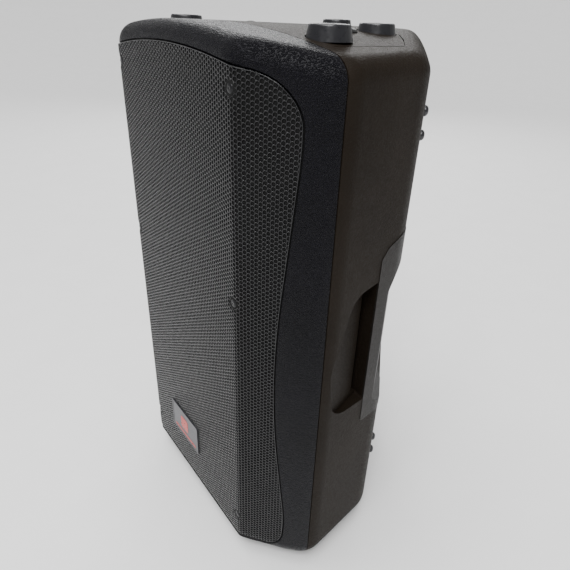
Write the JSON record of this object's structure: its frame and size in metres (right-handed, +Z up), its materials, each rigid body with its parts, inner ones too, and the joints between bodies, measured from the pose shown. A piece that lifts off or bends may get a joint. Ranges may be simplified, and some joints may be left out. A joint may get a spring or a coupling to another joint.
{
  "type": "pa speaker cabinet",
  "caption": "Moulded two-way loudspeaker cabinet with a perforated bent grille, side hand pockets, rubber feet, a pole socket and a rear amplifier panel.",
  "frame": {"origin": "middle of the footprint at the height of the base feet", "axes": "+Z up, grille faces -Y, +X to the right when azimuth 0 looks along +Y"},
  "size_m": [0.4444, 0.3734, 0.7286],
  "materials": {
    "front_plastic": "coarse leather grain",
    "rear_plastic": "fine grain",
    "grip_plastic": "fine grain",
    "grille_paint": "satin powder coat",
    "foam": "open foam",
    "badge_metal": "satin",
    "badge_colour": "gloss enamel",
    "foot_rubber": "matt",
    "plug_plastic": "satin",
    "frame_paint": "satin",
    "magnet_iron": "matt",
    "magnet_steel": "satin",
    "cone_paper": "pressed pulp, treated",
    "coil_aluminium": "satin",
    "surround_cloth": "coated cloth",
    "spider_cloth": "resin cloth",
    "horn_plastic": "satin",
    "diaphragm_metal": "bright",
    "wadding_wool": "felt",
    "panel_paint": "satin powder coat",
    "sink_aluminium": "anodised",
    "board_laminate": "satin",
    "jack_plastic": "satin",
    "knob_plastic": "satin",
    "lamp_lens": "clear tint",
    "blade_brass": "nickel",
    "screw_steel": "zinc plated",
    "dark_screw": "black oxide"
  },
  "bodies": {
    "cabinet": {"amplifier_board": "board_laminate", "badge_emblem": "badge_colour", "badge_plate": "badge_metal", "base_feet": "foot_rubber", "driver_body": "magnet_iron", "foot_screws": "screw_steel", "front_shell": "front_plastic", "grille": "grille_paint", "grille_foam": "foam", "grille_screws": "dark_screw", "handle_grip_left": "grip_plastic", "handle_grip_right": "grip_plastic", "heat_sink": "sink_aluminium", "horn": "horn_plastic", "horn_screws": "screw_steel", "inlet_blades": "blade_brass", "input_jacks": "jack_plastic", "link_pins": "blade_brass", "link_socket": "jack_plastic", "mains_inlet": "jack_plastic", "panel_screws": "screw_steel", "pole_socket": "plug_plastic", "pole_socket_screws": "screw_steel", "port_tubes": "horn_plastic", "power_switch_frame": "jack_plastic", "rear_panel": "panel_paint", "rear_shell": "rear_plastic", "rigging_plugs": "plug_plastic", "shell_screws": "screw_steel", "status_lamps": "lamp_lens", "top_feet": "foot_rubber", "wadding": "wadding_wool", "wedge_feet": "foot_rubber", "woofer_frame": "frame_paint", "woofer_gasket": "foot_rubber", "woofer_magnet": "magnet_iron", "woofer_pole_pieces": "magnet_steel", "woofer_screws": "dark_screw", "woofer_spider": "spider_cloth", "woofer_surround": "surround_cloth"},
    "woofer_motor": {"voice_coil": "coil_aluminium", "woofer_cone": "cone_paper", "woofer_dust_cap": "cone_paper"},
    "diaphragm": {"driver_diaphragm": "diaphragm_metal"},
    "volume": {"volume_knob": "knob_plastic"},
    "microphone": {"microphone_knob": "knob_plastic"},
    "bass": {"bass_knob": "knob_plastic"},
    "treble": {"treble_knob": "knob_plastic"},
    "rocker": {"power_rocker": "knob_plastic"},
    "slider": {"level_switch": "knob_plastic"}
  },
  "joints": [
    {"name": "woofer_travel", "type": "slide", "parent": "cabinet", "child": "woofer_motor", "axis": [0, 1, 0], "range_m": [-0.005, 0.005], "stiffness_N_per_m": 3000},
    {"name": "diaphragm_travel", "type": "slide", "parent": "cabinet", "child": "diaphragm", "axis": [0, 1, 0], "range_m": [-0.0003, 0.0003], "stiffness_N_per_m": 20000},
    {"name": "volume_turn", "type": "hinge", "parent": "cabinet", "child": "volume", "pos_m": [-0.075, 0.17275, 0.515], "axis": [0, 1, 0], "range_deg": [-150, 150]},
    {"name": "microphone_turn", "type": "hinge", "parent": "cabinet", "child": "microphone", "pos_m": [-0.015, 0.17275, 0.515], "axis": [0, 1, 0], "range_deg": [-150, 150]},
    {"name": "bass_turn", "type": "hinge", "parent": "cabinet", "child": "bass", "pos_m": [-0.075, 0.17275, 0.47], "axis": [0, 1, 0], "range_deg": [-150, 150]},
    {"name": "treble_turn", "type": "hinge", "parent": "cabinet", "child": "treble", "pos_m": [-0.015, 0.17275, 0.47], "axis": [0, 1, 0], "range_deg": [-150, 150]},
    {"name": "rocker_tilt", "type": "hinge", "parent": "cabinet", "child": "rocker", "pos_m": [-0.08, 0.16875, 0.296], "axis": [1, 0, 0], "range_deg": [-6, 6]},
    {"name": "slider_slide", "type": "slide", "parent": "cabinet", "child": "slider", "axis": [1, 0, 0], "range_m": [-0.003, 0.003]}
  ]
}
